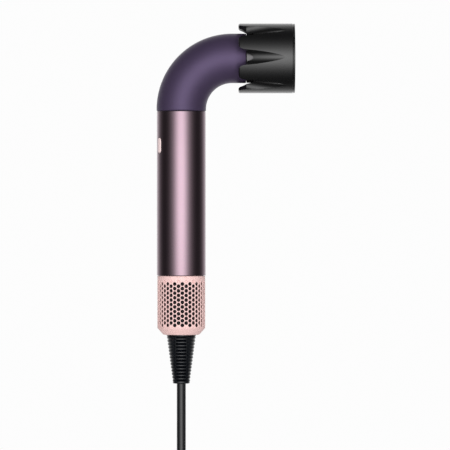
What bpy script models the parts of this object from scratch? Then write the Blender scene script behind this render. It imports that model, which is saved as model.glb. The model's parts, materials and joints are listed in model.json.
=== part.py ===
"""A hook-shaped salon hair dryer with a petalled diffuser on its outlet.

Metres, +Z up along the handle, +X towards the outlet. The origin is on the handle's axis at the
middle of the grip, so the handle tube runs as far above it as below it. The bend from the handle
to the head lies in the XZ plane. Where a length below is written as a pair, it is (low, high)
along the piece's own axis: Z for the handle, X for the head.
"""

import math

import bmesh
import bpy
from mathutils import Vector

# Driving dimensions
GAP = 0.0003                       # clearance between pieces that meet
TUBE_R = 0.0190                    # handle tube, outside
WALL = 0.0014                      # moulded wall
GRIP_HALF = 0.0633                 # half the length of the handle tube
BEND_R = 0.0393                    # centre line of the elbow
ELBOW_R = 0.0191                   # elbow, outside
BEND_Z = 0.0651                    # height where the elbow starts to turn
HEAD_Z = BEND_Z + BEND_R           # height of the head's axis
ELBOW_END = 0.0500                 # x where the elbow stops
OUTLET_R = 0.0189                  # bright outlet ring, outside
OUTLET_END = 0.0610

CAGE_R = 0.01845                   # perforated filter cage, outside
CAGE_WALL = 0.0012
CAGE_TOP = -GRIP_HALF - GAP
CAGE_BOTTOM = -0.1090
CAGE_CHAMFER = 0.0053
CAGE_FOOT_R = 0.0139
CAGE_EYE_R = 0.0118                # the eye that lets the cage slide down over the strain relief

RELIEF_TOP_R = 0.0114
RELIEF_END_R = 0.00645
RELIEF = (-0.1467, CAGE_BOTTOM - 0.0001)

DIFFUSER_R = 0.0269
DIFFUSER = (0.0441, 0.0877)        # petal tips to front face
RIM = 0.0013                       # front rim, along the axis
GROOVE_TURNS = (0, 52, 131, 180, 229, 308)   # degrees round the head from -Y
GROOVE_APEX = 0.0801               # where two petals meet
GROOVE_R = 0.0060                  # radius of a groove's round bottom
MOUTH_X = 0.0502                   # where a groove starts to flare between the petals' tips
MOUTH_FLARE = 0.0036               # how much wider it is at the tips, each side
PETAL_BORE = 0.0229                # inner radius of the petals

BUTTON_Z = 0.0370
BUTTON_TALL = 0.0119
BUTTON_WIDE = 0.0047
BUTTON_TURN = math.radians(27.3)   # round the handle, from its back
SLIDER_Z = 0.0190

CORD_R = 0.0035
CORD_PITCH = 0.0071                # between neighbouring runs of cord
HANK_TOP = -0.2330                 # centres of the hank's upper loops
HANK_RUN = 0.1300                  # straight run between the upper and lower loops
HANK_LOOP = 0.0281                 # outer loop, centre line
HANK_WAIST = 0.01745               # how far the tie pulls each run in
HANK_LAYERS = 3
HANK_X = HANK_LOOP                 # the cord drops straight into the hank's outer run
PLUG_Y = 0.0330


def matte(name, colour, roughness=0.6, metallic=0.0):
    """A plain Principled material."""
    material = bpy.data.materials.new(name)
    material.use_nodes = True
    shader = material.node_tree.nodes["Principled BSDF"]
    shader.inputs["Base Color"].default_value = (*colour, 1.0)
    shader.inputs["Roughness"].default_value = roughness
    shader.inputs["Metallic"].default_value = metallic
    material.diffuse_color = (*colour, 1.0)
    return material


def clear_scene():
    for obj in list(bpy.data.objects):
        bpy.data.objects.remove(obj, do_unlink=True)


def new_collection(name):
    collection = bpy.data.collections.new(name)
    bpy.context.scene.collection.children.link(collection)
    return collection


clear_scene()
PARTS = new_collection("hair_dryer")
HELPERS = new_collection("cutters")

FINISH = {
    "handle": matte("handle_metallic", (0.10, 0.07, 0.09), 0.28, 0.8),
    "elbow": matte("elbow_satin", (0.12, 0.08, 0.17), 0.35, 0.2),
    "silver": matte("outlet_silver", (0.45, 0.44, 0.45), 0.3, 0.9),
    "pink": matte("cage_pink", (0.80, 0.55, 0.52), 0.45, 0.3),
    "button": matte("button_cream", (0.72, 0.58, 0.55), 0.4),
    "black": matte("diffuser_black", (0.012, 0.012, 0.013), 0.4),
    "rubber": matte("rubber", (0.02, 0.02, 0.022), 0.75),
    "cord": matte("cord_sheath", (0.015, 0.015, 0.017), 0.6),
    "steel": matte("steel", (0.5, 0.5, 0.52), 0.3, 1.0),
    "copper": matte("winding", (0.55, 0.25, 0.12), 0.4, 0.9),
    "magnet": matte("magnet", (0.2, 0.2, 0.22), 0.4, 0.8),
    "mica": matte("mica", (0.55, 0.47, 0.36), 0.6),
    "nylon": matte("frame_nylon", (0.06, 0.06, 0.065), 0.5),
    "board": matte("circuit_board", (0.02, 0.14, 0.06), 0.5),
    "ceramic": matte("ceramic", (0.75, 0.72, 0.65), 0.5),
    "foam": matte("foam", (0.09, 0.09, 0.1), 0.95),
    "lens": matte("lens", (0.8, 0.8, 0.85), 0.15),
}


def axis_empty(name, place=(0, 0, 0), turn=(0, 0, 0), parent=None):
    """An empty on the axis that a group of pieces shares."""
    empty = bpy.data.objects.new(name, None)
    empty.location = place
    empty.rotation_euler = turn
    empty.parent = parent
    empty.empty_display_size = 0.01
    PARTS.objects.link(empty)
    return empty


def place(name, mesh, finish, parent=None, at=(0, 0, 0), turn=(0, 0, 0)):
    """Puts a mesh in the scene: a piece with a finish, or a hidden helper without one."""
    obj = bpy.data.objects.new(name, mesh)
    obj.location = at
    obj.rotation_euler = turn
    obj.parent = parent
    if finish:
        mesh.materials.append(FINISH[finish])
        PARTS.objects.link(obj)
    else:
        HELPERS.objects.link(obj)
        obj.hide_render = True
        obj.display_type = "WIRE"
    return obj


def mesh_from(bm, name):
    bmesh.ops.recalc_face_normals(bm, faces=bm.faces)
    mesh = bpy.data.meshes.new(name)
    bm.to_mesh(mesh)
    bm.free()
    return mesh


def boolean(obj, helper, operation="DIFFERENCE"):
    modifier = obj.modifiers.new(operation.title(), "BOOLEAN")
    modifier.operation = operation
    modifier.object = helper
    return obj


def turned(name, profile, finish, parent=None, steps=24):
    """A solid of revolution about the parent's Z axis. The profile is (radius, height) pairs that
    run down the outside; it closes on itself unless it starts and ends on the axis."""
    bm = bmesh.new()
    points = [bm.verts.new((radius, 0.0, height)) for radius, height in profile]
    for first, second in zip(points, points[1:]):
        bm.edges.new((first, second))
    if profile[0][0] > 0:
        bm.edges.new((points[-1], points[0]))
    mesh = bpy.data.meshes.new(name)
    bm.to_mesh(mesh)
    bm.free()
    obj = place(name, mesh, finish, parent)
    screw = obj.modifiers.new("Turn", "SCREW")
    screw.steps = screw.render_steps = steps
    screw.use_merge_vertices = True
    screw.merge_threshold = 0.000001
    return obj


def ring(name, outer, inner, span, finish, parent=None, steps=24):
    low, high = span
    profile = [(outer, high), (outer, low), (inner, low), (inner, high)]
    return turned(name, profile, finish, parent, steps)


def rod(name, radius, length, finish, parent=None, at=(0, 0, 0), turn=(0, 0, 0), sides=16):
    """A cylinder about the Z axis of its own frame, centred on its place."""
    bm = bmesh.new()
    bmesh.ops.create_cone(
        bm, cap_ends=True, segments=sides, radius1=radius, radius2=radius, depth=length
    )
    return place(name, mesh_from(bm, name), finish, parent, at, turn)


def block(name, size, finish, parent=None, at=(0, 0, 0), turn=(0, 0, 0), bevel=0.0):
    """A box centred on its place, with rounded edges where a bevel is given."""
    bm = bmesh.new()
    bmesh.ops.create_cube(bm, size=1.0)
    bmesh.ops.scale(bm, vec=size, verts=bm.verts)
    obj = place(name, mesh_from(bm, name), finish, parent, at, turn)
    if bevel:
        modifier = obj.modifiers.new("Round", "BEVEL")
        modifier.width = bevel
        modifier.segments = 2
    return obj


def prism(name, outline, span, finish, parent=None, at=(0, 0, 0), turn=(0, 0, 0)):
    """A flat outline in XY, raised from span[0] to span[1] along Z."""
    low, high = span
    bm = bmesh.new()
    base = bm.faces.new([bm.verts.new((x, y, low)) for x, y in outline])
    raised = bmesh.ops.extrude_face_region(bm, geom=[base])["geom"]
    top = [item for item in raised if isinstance(item, bmesh.types.BMVert)]
    bmesh.ops.translate(bm, vec=(0, 0, high - low), verts=top)
    return place(name, mesh_from(bm, name), finish, parent, at, turn)


def wire(name, points, radius, finish, resolution=0):
    """A round wire or cord along the points, with flat ends."""
    curve = bpy.data.curves.new(name, "CURVE")
    curve.dimensions = "3D"
    curve.bevel_depth = radius
    curve.bevel_resolution = resolution
    curve.use_fill_caps = True
    spline = curve.splines.new("POLY")
    spline.points.add(len(points) - 1)
    for slot, point in zip(spline.points, points):
        slot.co = (*point, 1.0)
    curve.materials.append(FINISH[finish])
    obj = bpy.data.objects.new(name, curve)
    PARTS.objects.link(obj)
    return obj


def elbow_point(turn, across=0.0, side=0.0):
    """A point near the elbow's centre line: turn is 0 at the handle and a right angle at the head,
    across is the distance away from the bend's centre, side is along Y."""
    reach = BEND_R + across
    return Vector((BEND_R - reach * math.cos(turn), side, BEND_Z + reach * math.sin(turn)))


def elbow_stations(first, last, count, start_drop=0.0, end_run=0.0):
    """(turn, shift) pairs along the bend, with a straight stretch before and after it."""
    stations = []
    if start_drop:
        stations.append((first, Vector((0, 0, -start_drop))))
    for step in range(count + 1):
        stations.append((first + (last - first) * step / count, Vector((0, 0, 0))))
    if end_run:
        stations.append((last, Vector((end_run, 0, 0))))
    return stations


def swept(name, section, stations, finish):
    """A closed section of (across, side) pairs carried along the bend and capped."""
    bm = bmesh.new()
    loops = []
    for turn, shift in stations:
        loops.append([bm.verts.new(elbow_point(turn, *pair) + shift) for pair in section])
    for low, high in zip(loops, loops[1:]):
        for index in range(len(section)):
            after = (index + 1) % len(section)
            bm.faces.new((low[index], low[after], high[after], high[index]))
    bm.faces.new(loops[0])
    bm.faces.new(loops[-1])
    return place(name, mesh_from(bm, name), finish)


def bent_tube(name, outer, inner, stations, finish, sides=28):
    """A hollow tube along the bend, open at both ends."""
    bm = bmesh.new()
    walls = []
    for radius in (outer, inner):
        loops = []
        for turn, shift in stations:
            loop = []
            for step in range(sides):
                angle = math.tau * step / sides
                across, side = radius * math.cos(angle), radius * math.sin(angle)
                loop.append(bm.verts.new(elbow_point(turn, across, side) + shift))
            loops.append(loop)
        for low, high in zip(loops, loops[1:]):
            for index in range(sides):
                after = (index + 1) % sides
                bm.faces.new((low[index], low[after], high[after], high[index]))
        walls.append(loops)
    for end in (0, -1):
        for index in range(sides):
            after = (index + 1) % sides
            outside, inside = walls[0][end], walls[1][end]
            bm.faces.new((outside[index], outside[after], inside[after], inside[index]))
    return place(name, mesh_from(bm, name), finish)


def pill(tall, wide, points=6):
    """A slot outline with round ends, tall along Y."""
    radius = wide / 2
    outline = []
    for end, start in ((1, 0.0), (-1, math.pi)):
        for step in range(points + 1):
            angle = start + math.pi * step / points
            outline.append(
                (radius * math.cos(angle), end * (tall / 2 - radius) + radius * math.sin(angle))
            )
    return outline


def disc(radius, sides):
    return [
        (radius * math.cos(math.tau * step / sides), radius * math.sin(math.tau * step / sides))
        for step in range(sides)
    ]


# Axes that the pieces share
HANDLE_AXIS = axis_empty("handle_axis")
HEAD_AXIS = axis_empty("head_axis", (0, 0, HEAD_Z), (0, math.pi / 2, 0))
DIFFUSER_AXIS = axis_empty("diffuser_axis", parent=HEAD_AXIS)
ROTOR_AXIS = axis_empty("rotor_axis", parent=HANDLE_AXIS)
CAGE_AXIS = axis_empty("cage_axis", parent=HANDLE_AXIS)


def button_axis(name, side):
    """An empty whose Z points out through a button and whose Y runs up the handle."""
    around = math.pi + side * BUTTON_TURN
    empty = axis_empty(name, (0, 0, BUTTON_Z), parent=HANDLE_AXIS)
    empty.rotation_euler = (math.pi / 2, 0, around + math.pi / 2)
    return empty


AIRFLOW_AXIS = button_axis("airflow_axis", 1)
TEMPERATURE_AXIS = button_axis("temperature_axis", -1)


def make_handle():
    tube = ring(
        "handle_tube", TUBE_R, TUBE_R - WALL, (-GRIP_HALF, GRIP_HALF), "handle", HANDLE_AXIS, 48
    )
    for name, axis in (("airflow_slot", AIRFLOW_AXIS), ("temperature_slot", TEMPERATURE_AXIS)):
        slot = pill(BUTTON_TALL + 2 * GAP, BUTTON_WIDE + 2 * GAP)
        boolean(tube, prism(name, slot, (0.015, 0.021), None, axis))
    slider_slot = block(
        "slider_slot", (0.006, 0.0048, 0.011), None, at=(-0.0185, 0, SLIDER_Z + 0.0025)
    )
    boolean(tube, slider_slot)
    lens_hole = rod(
        "lens_hole", 0.0015, 0.006, None, at=(-0.0185, 0, 0.050), turn=(0, math.pi / 2, 0)
    )
    boolean(tube, lens_hole)
    rod("status_lens", 0.0012, 0.0016, "lens", None, (-0.01805, 0, 0.050), (0, math.pi / 2, 0))
    ring("joint_collar", 0.0173, 0.0160, (0.0540, 0.0660), "nylon", HANDLE_AXIS)


def make_elbow():
    stations = elbow_stations(0, math.pi / 2, 10, BEND_Z - GRIP_HALF - GAP, ELBOW_END - BEND_R)
    bent_tube("elbow_cover", ELBOW_R, ELBOW_R - WALL, stations, "elbow")
    ring_profile = [
        (OUTLET_R, OUTLET_END),
        (OUTLET_R, ELBOW_END + GAP),
        (0.0174, ELBOW_END + GAP),
        (0.0174, 0.0440),
        (0.0163, 0.0440),
        (0.0163, OUTLET_END),
    ]
    turned("outlet_ring", ring_profile, "silver", HEAD_AXIS, 36)
    core_profile = [(0, 0.0600), (0.0062, 0.0585), (0.0080, 0.0540), (0.0060, 0.0480), (0, 0.0460)]
    core = turned("outlet_core", core_profile, "nylon", HEAD_AXIS, 18)
    for index in range(3):
        angle = math.tau * index / 3
        centre = (0.0104 * math.cos(angle), 0.0104 * math.sin(angle), 0.0545)
        vane = block(
            f"core_vane_{index}", (0.0110, 0.0012, 0.0070), None, HEAD_AXIS, centre, (0, 0, angle)
        )
        boolean(core, vane, "UNION")


def make_heater():
    sleeve = elbow_stations(math.radians(3), math.pi / 2, 8, 0, 0.0040)
    bent_tube("heater_sleeve", 0.0166, 0.0160, sleeve, "mica", 20)
    reach, half = 0.0120, 0.0005
    cross = [
        (reach, -half), (reach, half), (half, half), (half, reach), (-half, reach), (-half, half),
        (-reach, half), (-reach, -half), (-half, -half), (-half, -reach), (half, -reach),
        (half, -half),
    ]
    first, last = math.radians(8), math.radians(86)
    swept("heater_frame", cross, elbow_stations(first, last, 7), "mica")
    turns, points_per_turn, radius = 9, 10, 0.0135
    coil = []
    for step in range(turns * points_per_turn + 1):
        share = step / (turns * points_per_turn)
        angle = math.tau * step / points_per_turn
        bend = math.radians(12) + math.radians(70) * share
        coil.append(elbow_point(bend, radius * math.cos(angle), radius * math.sin(angle)))
    wire("heater_coil", coil, 0.0006, "steel")
    fuse = elbow_point(math.radians(50), 0.0058, 0.0055)
    rod("thermal_fuse", 0.0018, 0.0090, "steel", None, fuse, (0, math.radians(50), 0), 10)
    rod("thermistor", 0.0011, 0.0040, "ceramic", HEAD_AXIS, (-0.0095, 0, 0.0422), sides=8)


def make_motor():
    base = -0.0180                 # lower end of the motor housing
    hub_low, hub_high = base + 0.0140, base + 0.0340
    housing = ring("motor_housing", 0.0140, 0.0133, (base, hub_high), "nylon", HANDLE_AXIS)
    hub_profile = [
        (0.0086, hub_high),
        (0.0086, hub_low),
        (0.0046, hub_low),
        (0.0046, hub_low + 0.0012),
        (0.0079, hub_low + 0.0012),
        (0.0079, hub_high),
    ]
    boolean(housing, turned("motor_hub", hub_profile, None, HANDLE_AXIS), "UNION")
    vanes = 7
    for index in range(vanes):
        angle = math.tau * (index + 0.5) / vanes
        centre = (0.0110 * math.cos(angle), 0.0110 * math.sin(angle), hub_low + 0.0050)
        vane = block(
            f"vane_{index}", (0.0053, 0.0010, 0.0070), None, HANDLE_AXIS, centre, (0.45, 0, angle)
        )
        boolean(housing, vane, "UNION")
    ring("motor_stator", 0.0076, 0.0046, (hub_low + 0.0035, hub_low + 0.0150), "copper", HANDLE_AXIS)
    ring("motor_end_cap", 0.0076, 0.0045, (hub_high - 0.0030, hub_high - 0.0004), "nylon",
         HANDLE_AXIS)
    ring("bearing_lower", 0.0043, 0.0013, (hub_low - 0.0008, hub_low + 0.0022), "steel",
         HANDLE_AXIS, 16)
    ring("bearing_upper", 0.0042, 0.0013, (hub_high - 0.0032, hub_high - 0.0006), "steel",
         HANDLE_AXIS, 16)
    ring("motor_board", 0.0084, 0.0020, (hub_high + GAP, hub_high + 0.0015), "board", HANDLE_AXIS)
    ring("motor_mount_lower", 0.0173, 0.0143, (base + 0.0020, base + 0.0070), "rubber", HANDLE_AXIS)
    ring("motor_mount_upper", 0.0173, 0.0143, (base + 0.0260, base + 0.0310), "rubber", HANDLE_AXIS)

    rod("rotor_shaft", 0.0010, 0.0310, "steel", ROTOR_AXIS, (0, 0, base + 0.0175), sides=12)
    ring("rotor_magnet", 0.0040, 0.0013, (hub_low + 0.0040, hub_low + 0.0145), "magnet",
         ROTOR_AXIS, 16)
    wheel_profile = [
        (0.0076, base + 0.0115),
        (0.0076, base + 0.0105),
        (0.0040, base + 0.0040),
        (0.0013, base + 0.0032),
        (0.0013, base + 0.0115),
    ]
    wheel = turned("impeller", wheel_profile, "steel", ROTOR_AXIS, 18)
    blades = 9
    for index in range(blades):
        angle = math.tau * index / blades
        centre = (0.0090 * math.cos(angle), 0.0090 * math.sin(angle), base + 0.0085)
        blade = block(
            f"blade_{index}", (0.0072, 0.0008, 0.0050), None, ROTOR_AXIS, centre, (-0.6, 0, angle)
        )
        boolean(wheel, blade, "UNION")


def make_boards():
    block("main_board", (0.0250, 0.0016, 0.0280), "board", at=(0, 0, -0.0350))
    rod("bulk_capacitor", 0.0048, 0.0170, "nylon", None, (-0.0040, 0.0060, -0.0370))
    rod("noise_choke", 0.0045, 0.0050, "copper", None, (-0.0060, -0.0037, -0.0410),
        (math.pi / 2, 0, 0))
    fins, base_y, tip_y = 4, -0.0011, -0.0080
    comb = [(0.0010, base_y)]
    for index in range(fins):
        left = 0.0010 + index * 0.0026
        comb += [(left, tip_y), (left + 0.0010, tip_y)]
        if index < fins - 1:
            comb += [(left + 0.0010, base_y - 0.0015), (left + 0.0026, base_y - 0.0015)]
    comb.append((comb[-1][0], base_y))
    prism("heat_sink", comb, (-0.0340, -0.0240), "steel")
    carrier = ring("board_carrier", 0.0154, 0.0140, (-0.0255, -0.0215), "nylon", HANDLE_AXIS)
    for side in (-1, 1):
        rail = block(f"rail_{side}", (0.0018, 0.0040, 0.0270), None, at=(side * 0.0138, 0, -0.0360))
        boolean(carrier, rail, "UNION")
    ring("acoustic_foam", 0.0173, 0.0158, (-0.0550, -0.0195), "foam", HANDLE_AXIS)

    block("control_board", (0.0012, 0.0210, 0.0340), "board", at=(-0.0100, 0, 0.0360))
    block("power_switch", (0.0042, 0.0070, 0.0070), "nylon", at=(-0.0130, 0, 0.0230))


def make_controls():
    for name, axis in (("airflow", AIRFLOW_AXIS), ("temperature", TEMPERATURE_AXIS)):
        block(f"{name}_switch", (0.0042, 0.0042, 0.0014), "nylon", axis, (0, 0, 0.0143))
        cap = prism(f"{name}_button", pill(BUTTON_TALL, BUTTON_WIDE), (0.0172, 0.01925), "button",
                    axis)
        stem = rod(f"{name}_stem", 0.0012, 0.0020, None, axis, (0, 0, 0.0169), sides=10)
        boolean(cap, stem, "UNION")
    slider = block("power_slider", (0.0015, 0.0062, 0.0100), "nylon", at=(-0.01645, 0, SLIDER_Z))
    knob = block("slider_knob", (0.0026, 0.0040, 0.0050), None, at=(-0.01745, 0, SLIDER_Z))
    boolean(slider, knob, "UNION")


def make_inlet():
    frame_profile = [
        (0.0169, -0.0570), (0.0169, -0.0690), (0.0129, -0.0690), (0.0129, -0.0660),
        (0.0154, -0.0625), (0.0154, -0.0570),
    ]
    frame = turned("inlet_frame", frame_profile, "nylon", HANDLE_AXIS)
    floor = ring("inlet_floor", 0.0132, 0.0060, (-0.1074, -0.1054), None, HANDLE_AXIS)
    for index in range(4):
        angle = math.tau * (index + 0.5) / 4
        centre = (0.0125 * math.cos(angle), 0.0125 * math.sin(angle), -0.0865)
        rib = block(f"rib_{index}", (0.0014, 0.0024, 0.0400), None, HANDLE_AXIS, centre, (0, 0, angle))
        boolean(frame, rib, "UNION")
    boolean(frame, floor, "UNION")
    ring("filter_mesh", 0.0145, 0.0140, (-0.1030, -0.0694), "steel", HANDLE_AXIS)
    post_profile = [
        (0.0054, -0.0560), (0.0054, -0.1078), (0.0110, -0.1078), (0.0110, -0.1088),
        (0.0037, -0.1088), (0.0037, -0.0560),
    ]
    turned("cord_post", post_profile, "nylon", HANDLE_AXIS, 20)
    rod("inner_lead", 0.0033, 0.0525, "cord", None, (0, 0, -0.08225), sides=12)
    clamp = block("cord_clamp", (0.0150, 0.0070, 0.0030), "nylon", at=(0, 0, -0.0540))
    for index, side in enumerate((-1, 1)):
        hole = rod(f"clamp_hole_{index}", 0.0014, 0.0050, None, None, (side * 0.0050, 0, -0.0540),
                   sides=10)
        boolean(clamp, hole)
        rod(f"clamp_screw_{index + 1}", 0.0010, 0.0040, "steel", None,
            (side * 0.0050, 0, -0.0530), sides=8)


def make_cage():
    inner = CAGE_R - CAGE_WALL
    shoulder = CAGE_BOTTOM + CAGE_CHAMFER
    profile = [
        (CAGE_R, CAGE_TOP),
        (CAGE_R, shoulder),
        (CAGE_FOOT_R, CAGE_BOTTOM),
        (CAGE_EYE_R, CAGE_BOTTOM),
        (CAGE_EYE_R, CAGE_BOTTOM + CAGE_WALL),
        (CAGE_FOOT_R - 0.0005, CAGE_BOTTOM + CAGE_WALL),
        (inner, shoulder + 0.0005),
        (inner, CAGE_TOP),
    ]
    cage = turned("filter_cage", profile, "pink", CAGE_AXIS, 32)
    columns, rows, hole_r, row_pitch = 16, 4, 0.0026, 0.0082
    bm = bmesh.new()
    for column in range(columns):
        angle = math.tau * column / columns
        out = Vector((math.cos(angle), math.sin(angle), 0))
        along = Vector((-math.sin(angle), math.cos(angle), 0))
        for row in range(rows):
            height = -0.0715 - (row + 0.5 * (column % 2)) * row_pitch
            corners = []
            for x, y in disc(hole_r, 6):
                corners.append(bm.verts.new(out * 0.0150 + along * y + Vector((0, 0, height + x))))
            base = bm.faces.new(corners)
            raised = bmesh.ops.extrude_face_region(bm, geom=[base])["geom"]
            top = [item for item in raised if isinstance(item, bmesh.types.BMVert)]
            bmesh.ops.translate(bm, vec=out * 0.0060, verts=top)
    boolean(cage, place("cage_holes", mesh_from(bm, "cage_holes"), None, CAGE_AXIS))


def make_relief():
    low, high = RELIEF
    bands = 5
    profile = [(0, high)]
    for band in range(bands):
        share, after = band / bands, (band + 0.82) / bands
        top_r = RELIEF_TOP_R + (RELIEF_END_R - RELIEF_TOP_R) * share
        foot_r = RELIEF_TOP_R + (RELIEF_END_R - RELIEF_TOP_R) * after
        profile += [(top_r, high + (low - high) * share), (foot_r, high + (low - high) * after)]
        if band < bands - 1:
            profile.append((foot_r - 0.0012, high + (low - high) * after))
            profile.append((foot_r - 0.0014, high + (low - high) * (band + 1) / bands))
    profile += [(RELIEF_END_R - 0.0004, low), (0, low)]
    turned("strain_relief", profile, "rubber", HANDLE_AXIS, 16)


def groove_stations(rear):
    """(distance along the head's axis, half width, depth) of a groove, from behind the petals'
    round tips to just past its apex. It dives along a shallow curve."""
    def depth(along):
        run = GROOVE_APEX - along
        return 0.08 * run + 3.5 * run * abs(run) + 1.4 * max(0, MOUTH_X - along)

    stations = [(rear - 0.0060, GROOVE_R + MOUTH_FLARE, depth(rear))]
    for step in range(4, -1, -1):
        angle = math.pi / 2 * step / 4
        along = MOUTH_X - (MOUTH_X - rear) * math.sin(angle)
        stations.append((along, GROOVE_R + MOUTH_FLARE * (1 - math.cos(angle)), depth(along)))
    for step in range(1, 8):
        along = MOUTH_X + (GROOVE_APEX + 0.0020 - MOUTH_X) * step / 7
        stations.append((along, GROOVE_R, depth(along)))
    return stations


def groove(name, turn, rear):
    """The cutter of one groove, round at the bottom and with upright sides above that."""
    angle = math.radians(turn - 90)
    across = 12
    above = DIFFUSER_R + GROOVE_R + 0.0010
    bm = bmesh.new()
    loops = []
    for along, half, depth in groove_stations(rear):
        loop = []
        for step in range(across + 1):
            swing = math.pi * (step / across - 0.5)
            loop.append((half * math.sin(swing),
                         DIFFUSER_R - depth + GROOVE_R * (1 - math.cos(swing))))
        loop += [(half, above), (-half, above)]
        loops.append([
            bm.verts.new((out * math.cos(angle) - side * math.sin(angle),
                          out * math.sin(angle) + side * math.cos(angle), along))
            for side, out in loop
        ])
    count = len(loops[0])
    for near, far in zip(loops, loops[1:]):
        for index in range(count):
            after = (index + 1) % count
            bm.faces.new((near[index], near[after], far[after], far[index]))
    bm.faces.new(loops[0])
    bm.faces.new(loops[-1])
    return place(name, mesh_from(bm, name), None, DIFFUSER_AXIS)


def make_diffuser():
    rear, front = DIFFUSER
    body_front = front - RIM - GAP
    profile = [
        (DIFFUSER_R - 0.0007, body_front),
        (DIFFUSER_R, body_front - 0.0007),
        (DIFFUSER_R, rear + 0.0014),
        (DIFFUSER_R - 0.0006, rear + 0.0004),
        (DIFFUSER_R - 0.0018, rear),
        (DIFFUSER_R - 0.0026, rear + 0.0003),
        (DIFFUSER_R - 0.0031, rear + 0.0011),
        (PETAL_BORE, rear + 0.0046),
        (PETAL_BORE, 0.0700),
        (0.0166, 0.0700),
        (0.0166, 0.0715),
        (0.0246, 0.0790),
        (0.0252, body_front),
    ]
    body = turned("diffuser_body", profile, "black", DIFFUSER_AXIS, 56)
    for index, turn in enumerate(GROOVE_TURNS):
        boolean(body, groove(f"groove_{index}", turn, rear))
    rim_profile = [
        (DIFFUSER_R - 0.0005, front),
        (DIFFUSER_R - 0.0001, front - 0.0005),
        (DIFFUSER_R - 0.0001, front - RIM),
        (0.0240, front - RIM),
        (0.0240, front),
    ]
    turned("diffuser_rim", rim_profile, "black", DIFFUSER_AXIS, 36)
    screen = ring("diffuser_screen", 0.0248, 0.0030, (0.0825, 0.0840), "black", DIFFUSER_AXIS, 30)
    bm = bmesh.new()
    for count, radius in ((6, 0.0085), (12, 0.0170)):
        for index in range(count):
            angle = math.tau * index / count
            centre = Vector((radius * math.cos(angle), radius * math.sin(angle), 0.0800))
            base = bm.faces.new(
                [bm.verts.new(centre + Vector((x, y, 0))) for x, y in disc(0.0030, 6)]
            )
            raised = bmesh.ops.extrude_face_region(bm, geom=[base])["geom"]
            top = [item for item in raised if isinstance(item, bmesh.types.BMVert)]
            bmesh.ops.translate(bm, vec=(0, 0, 0.0060), verts=top)
    boolean(screen, place("screen_holes", mesh_from(bm, "screen_holes"), None, DIFFUSER_AXIS))
    cone_profile = [(0, 0.0822), (0.0110, 0.0822), (0.0110, 0.0810), (0.0040, 0.0740), (0, 0.0725)]
    turned("diffuser_deflector", cone_profile, "black", DIFFUSER_AXIS)
    ring("diffuser_magnets", 0.0188, 0.0166, (OUTLET_END + GAP, OUTLET_END + 0.0023), "magnet",
         HEAD_AXIS, 30)
    ring("diffuser_collar", 0.0188, 0.0166, (OUTLET_END + 0.0026, 0.0697), "nylon", HEAD_AXIS, 30)


def hank_half_width(height):
    """Half the hank's width, outside, at a height between the centres of its end loops."""
    middle = HANK_TOP - HANK_RUN / 2
    pinch = (1 + math.cos(math.tau * (height - middle) / HANK_RUN)) / 2
    return HANK_LOOP + CORD_R - HANK_WAIST * pinch


def make_hank():
    bottom = HANK_TOP - HANK_RUN
    steps, end_steps = 14, 10
    outline = []
    for step in range(end_steps + 1):
        angle = math.pi * step / end_steps
        reach = HANK_LOOP + CORD_R
        outline.append((reach * math.cos(angle), HANK_TOP + reach * math.sin(angle)))
    for step in range(1, steps):
        height = HANK_TOP - HANK_RUN * step / steps
        outline.append((-hank_half_width(height), height))
    for step in range(end_steps + 1):
        angle = math.pi + math.pi * step / end_steps
        reach = HANK_LOOP + CORD_R
        outline.append((reach * math.cos(angle), bottom + reach * math.sin(angle)))
    for step in range(1, steps):
        height = bottom + HANK_RUN * step / steps
        outline.append((hank_half_width(height), height))
    thickness = (-CORD_R, (HANK_LAYERS - 1) * CORD_PITCH + CORD_R)
    # The outline is drawn in XY, so it is stood up with its thickness along +Y.
    prism("cord_hank", outline, (-thickness[1], -thickness[0]), "cord", None, (HANK_X, 0, 0),
          (math.pi / 2, 0, 0))
    middle = HANK_TOP - HANK_RUN / 2
    half_x = hank_half_width(middle + 0.0080) + GAP
    low_y, high_y = thickness[0] - GAP, thickness[1] + GAP
    band = 0.0012
    tie = block("cord_tie", (2 * (half_x + band), high_y - low_y + 2 * band, 0.0160), "foam",
                at=(HANK_X, (low_y + high_y) / 2, middle))
    eye = block("tie_eye", (2 * half_x, high_y - low_y, 0.0300), None,
                at=(HANK_X, (low_y + high_y) / 2, middle))
    boolean(tie, eye)


def smooth_path(knots, spacing):
    """Points at an even spacing along one smooth curve through the knots (Catmull-Rom)."""
    ends = [2 * knots[0] - knots[1], *knots, 2 * knots[-1] - knots[-2]]
    dense = []
    for before, first, second, after in zip(ends, ends[1:], ends[2:], ends[3:]):
        for step in range(24):
            t = step / 24
            dense.append(
                0.5 * (2 * first + (second - before) * t
                       + (2 * before - 5 * first + 4 * second - after) * t ** 2
                       + (3 * first - before - 3 * second + after) * t ** 3)
            )
    dense.append(knots[-1])
    points, travelled = [dense[0]], 0.0
    for start, end in zip(dense, dense[1:]):
        travelled += (end - start).length
        if travelled >= spacing:
            points.append(end)
            travelled = 0.0
    if (points[-1] - dense[-1]).length < spacing / 2:
        points.pop()
    points.append(dense[-1])
    return points


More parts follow.
